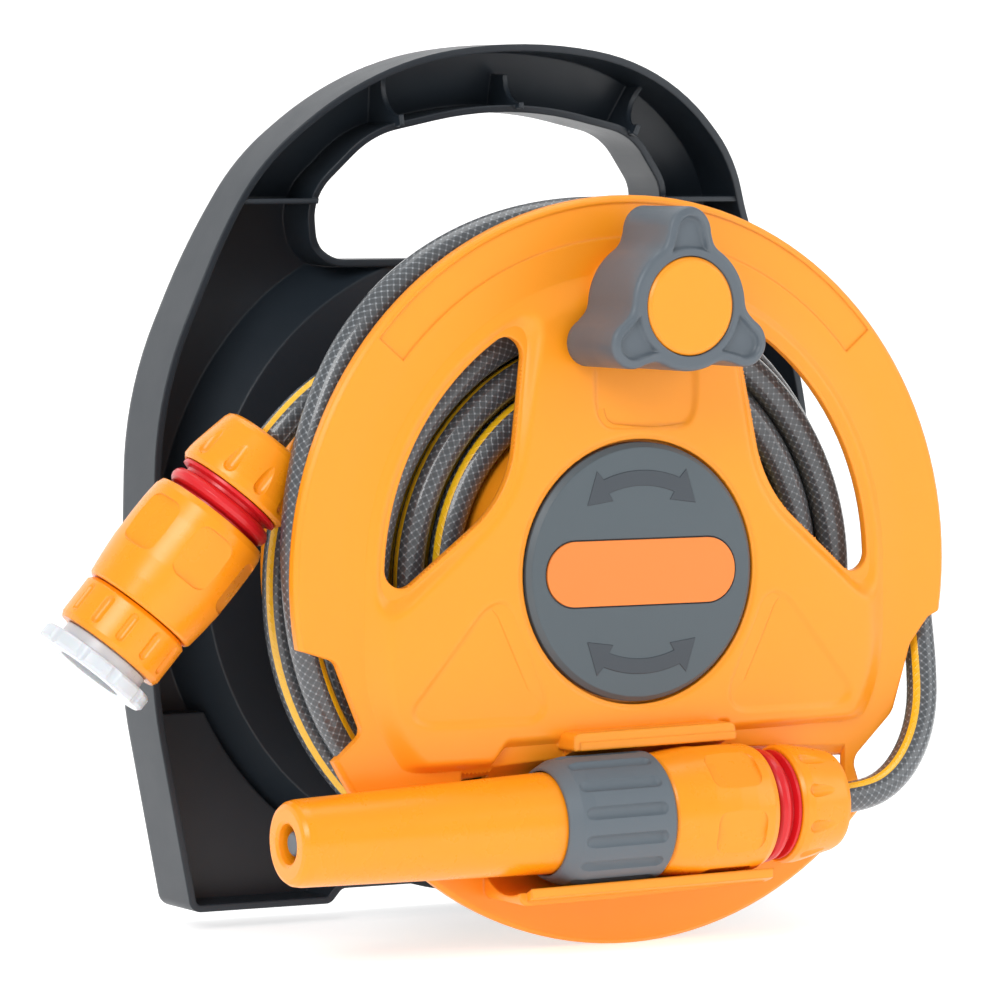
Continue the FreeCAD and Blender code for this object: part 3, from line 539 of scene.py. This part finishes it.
def relief_mesh():
    """The raised body between hub, windows and rim, as a height over the flange."""
    angle = np.linspace(0, 2 * math.pi, RELIEF_COLUMNS, endpoint=False)[:, None]
    reach = np.linspace(HUB_R, RELIEF_R, RELIEF_ROWS)[None, :]
    x, z = reach * np.cos(angle), reach * np.sin(angle)
    r = reach + 0 * angle
    share = relief_share(x, z, r)
    edge = np.interp(r, CROWN_R, CROWN_Y) + SUNK
    body = BODY_Y + BODY_CURVE * (r - BODY_R) ** 2
    height = edge + (body - edge) * share
    pressed = np.maximum(inside_panel(np.abs(x), z, SIDE_PANEL),
                         inside_panel(x - TOP_PANEL_X, z, TOP_PANEL))
    height = height + PRESSED * eased(pressed / 1.1) * share
    height[:, 0] = np.maximum(height[:, 0], -5.0)     # goes under the hub cap

    points = [at(*p) for p in zip(x.ravel(), height.ravel(), z.ravel())]
    faces = []
    for i in range(RELIEF_COLUMNS):
        after = (i + 1) % RELIEF_COLUMNS
        for j in range(RELIEF_ROWS - 1):
            corners = ((i, j), (after, j), (after, j + 1), (i, j + 1))
            if max(share[c] for c in corners) > 0.002:
                faces.append(tuple(a * RELIEF_ROWS + b for a, b in corners))
    mesh = shaded_mesh("flange_relief", points, faces)
    trimmed = bmesh.new()
    trimmed.from_mesh(mesh)
    unused = [v for v in trimmed.verts if not v.link_faces]
    bmesh.ops.delete(trimmed, geom=unused, context="VERTS")
    trimmed.to_mesh(mesh)
    trimmed.free()
    return mesh


relief = add_object("flange_relief", relief_mesh(), materials["drum_plastic"])
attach(relief, "drum")

# ---- crank knob ---------------------------------------------------------
KNOB_Z = 80.5                              # the crank's place above the drum's axis
KNOB_FACE, KNOB_BACK = -36.0, -8.0
KNOB_BORE, KNOB_WELL, WELL_FLOOR = 6.2, 14.9, -26.8    # radii, and the knob cap's seat
BODY_ROUND, LOBE_REACH = 19.3, 22.3        # the outline's middle, and its lobes' tips
LOBE_ROOT, LOBE_TAPER, LOBE_BLEND = 13.4, 6.2, 2.0
FACE_ROUND = 1.6                           # the front edge's radius
POCKET_DEPTH, POCKET_WALL = 1.5, 2.6
LIP_HEIGHT, LIP_AT, LIP_WIDTH = 0.35, 2.3, 0.5
RIDGE, RIDGES = 0.35, 108                  # grip ridges: their depth and number
KNOB_COLUMNS, FACE_STEPS = 216, 30


def knob_inset(x, z):
    """How far inside the knob's three-lobed outline a point is, in mm."""
    value = math.hypot(x, z) - BODY_ROUND
    for i in range(3):
        mid = math.radians(90 + 120 * i)
        along_lobe = x * math.cos(mid) + z * math.sin(mid)
        across = abs(-x * math.sin(mid) + z * math.cos(mid))
        share = max(0.0, min(1.0, along_lobe / LOBE_REACH))
        near = math.hypot(along_lobe - LOBE_REACH * share, across)
        near -= LOBE_ROOT - LOBE_TAPER * share
        blend = max(0.0, min(1.0, 0.5 + 0.5 * (near - value) / LOBE_BLEND))
        value = near + (value - near) * blend - LOBE_BLEND * blend * (1 - blend)
    return -value


def knob_edge(angle):
    """Distance from the knob's middle to its outline, by halving."""
    low, high = 5.0, 36.0
    for _ in range(26):
        half = 0.5 * (low + high)
        if knob_inset(half * math.cos(angle), half * math.sin(angle)) > 0.0:
            low = half
        else:
            high = half
    return low


def knob_section(angle):
    """The knob's closed section at an angle, as (radius, y) from its bore's back."""
    rim = knob_edge(angle)
    section = [(KNOB_BORE, KNOB_BACK), (rim - 0.5, KNOB_BACK), (rim, KNOB_BACK - 0.5)]
    lobe = smooth((rim - 22.0) / 4.0)
    ridge = RIDGE * lobe * (0.5 + 0.5 * math.cos(angle * RIDGES))
    for y in (-10, -14, -18, -22, -24, -26):
        section.append((rim - ridge * smooth((y + 26.0) / 3.0), y))
    section += [(rim, -30.0), (rim, KNOB_FACE + FACE_ROUND)]
    for k in (0.1, 0.3, 0.6, 1.0, 1.6):
        rise = math.sqrt(FACE_ROUND ** 2 - (FACE_ROUND - k) ** 2)
        section.append((rim - k, KNOB_FACE + FACE_ROUND - rise))
    outer = rim - 1.8
    for share in np.linspace(1.0, 0.0, FACE_STEPS):
        r = KNOB_WELL + (outer - KNOB_WELL) * share
        inset = knob_inset(r * math.cos(angle), r * math.sin(angle))
        sunk = smooth((inset - POCKET_WALL) / 0.9) * smooth((r - 16.9) / 0.9)
        lip = LIP_HEIGHT * math.exp(-((inset - LIP_AT) / LIP_WIDTH) ** 2)
        lip *= smooth((r - 17.6) / 1.5)
        section.append((r, KNOB_FACE + POCKET_DEPTH * sunk - lip))
    return section + [(KNOB_WELL, WELL_FLOOR), (KNOB_BORE, WELL_FLOOR)]


def knob_mesh():
    """The knob's sections joined into one closed skin."""
    verts, faces = [], []
    for j in range(KNOB_COLUMNS):
        angle = 2 * math.pi * j / KNOB_COLUMNS
        section = knob_section(angle)
        for r, y in section:
            verts.append(tuple(at(r * math.cos(angle), y, KNOB_Z + r * math.sin(angle))))
    size = len(section)
    for j in range(KNOB_COLUMNS):
        this, after = j * size, (j + 1) % KNOB_COLUMNS * size
        for k in range(size):
            up_one = (k + 1) % size
            faces.append((this + k, this + up_one, after + up_one, after + k))
    return shaded_mesh("knob_grip", verts, faces)


grip = add_object("knob_grip", knob_mesh(), materials["knob_plastic"])
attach(grip, "knob")
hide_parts("knob")

# ---- arrows on the hub cap ----------------------------------------------
ARROW_OUTER, ARROW_INNER, ARROW_CENTRE = 35.7, 31.0, -5.0    # its two arcs
OUTER_HALF, INNER_HALF = 0.378, 0.370      # and half of what they span, in radians
ARROW_TIP, WING_OUT, WING_IN = (18.8, 20.4), (15.5, 30.7), (9.8, 21.6)
ARROW_FACE, ARROW_FOOT = -7.52, -7.25      # y of its face, and of its foot in the cap


def arrow_mesh(name, flip):
    """A double-headed curved arrow, standing a little proud of the cap."""
    def arc(radius, start, end):
        return [(radius * math.sin(a), ARROW_CENTRE + radius * math.cos(a))
                for a in np.linspace(start, end, 17)]

    def mirrored(place):
        return (-place[0], place[1])

    loop = [mirrored(ARROW_TIP), mirrored(WING_OUT)]
    loop += arc(ARROW_OUTER, -OUTER_HALF, OUTER_HALF)
    loop += [WING_OUT, ARROW_TIP, WING_IN]
    loop += arc(ARROW_INNER, INNER_HALF, -INNER_HALF) + [mirrored(WING_IN)]
    count = len(loop)
    verts = [at(x, y, z * flip) for y in (ARROW_FACE, ARROW_FOOT) for x, z in loop]
    sides = [(i, (i + 1) % count, count + (i + 1) % count, count + i) for i in range(count)]
    faces = [tuple(range(count)), tuple(range(2 * count - 1, count - 1, -1))] + sides
    mesh = bpy.data.meshes.new(name)
    mesh.from_pydata(verts, [], faces)
    cleaned = bmesh.new()
    cleaned.from_mesh(mesh)
    bmesh.ops.recalc_face_normals(cleaned, faces=cleaned.faces)
    face_y = at(0, ARROW_FACE, 0).y
    rim = [e for e in cleaned.edges if all(abs(v.co.y - face_y) < 1e-7 for v in e.verts)]
    bmesh.ops.bevel(cleaned, geom=rim, offset=0.00012, segments=2, affect="EDGES")
    large = [f for f in cleaned.faces if len(f.verts) > 4]
    bmesh.ops.triangulate(cleaned, faces=large)
    cleaned.to_mesh(mesh)
    cleaned.free()
    return mesh


for name, flip in (("cap_arrow_top", 1), ("cap_arrow_bottom", -1)):
    arrow = add_object(name, arrow_mesh(name, flip), arrow_painted_shade)
    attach(arrow, "drum")

# ---- floor and light ----------------------------------------------------
WORLD_STRENGTH = 0.62
PAPER_GLOW = 0.66                          # keeps the backdrop white behind the reel
LAMPS = (           # name, place, size in metres, power in watts
    ("key", (-1.1, -1.0, 1.0), 0.7, 12),
    ("fill", (1.1, -0.9, 0.6), 0.9, 4.5),
    ("top", (0.1, 0.2, 1.4), 0.9, 6),
)
MIDDLE = Vector((0, 0, 0.13))              # what the lamps point at

world = bpy.data.worlds.new("studio")
bpy.context.scene.world = world
world.use_nodes = True
sky = world.node_tree.nodes["Background"]
sky.inputs["Color"].default_value = (1, 1, 1, 1)
sky.inputs["Strength"].default_value = WORLD_STRENGTH


def floor_mesh():
    """A paper sheet that lies under the reel and curves up behind it."""
    reach, wall, bend, rise, steps = 6.0, 2.6, 0.6, 3.0, 12
    profile = [(-reach, 0.0)]
    for i in range(steps + 1):
        turn = math.pi / 2 * i / steps
        profile.append((wall + bend * math.sin(turn), bend - bend * math.cos(turn)))
    profile.append((wall + bend, rise))
    verts = [(x, y, z) for x in (-reach, reach) for y, z in profile]
    n = len(profile)
    return shaded_mesh("floor", verts, [(i, i + 1, n + i + 1, n + i) for i in range(n - 1)])


paper = Nodes("paper")
paper.shade(
    Base_Color=paper.mix(paper.noise(3.0), (0.70, 0.70, 0.70), (0.74, 0.74, 0.74)),
    Roughness=0.9,
    Emission_Color=(1, 1, 1),
    Emission_Strength=PAPER_GLOW,
)
floor = add_object("floor", floor_mesh(), paper.mat)


def lamp(name, place, size, power):
    """A square area lamp that points at the middle of the reel."""
    data = bpy.data.lights.new(name, "AREA")
    data.shape = "RECTANGLE"
    data.size = data.size_y = size
    data.energy = power
    light = add_object(name, data)
    light.location = place
    light.rotation_mode = "QUATERNION"
    light.rotation_quaternion = (MIDDLE - Vector(place)).to_track_quat("-Z", "Y")


for settings in LAMPS:
    lamp(*settings)
bpy.context.scene.view_settings.view_transform = "Standard"
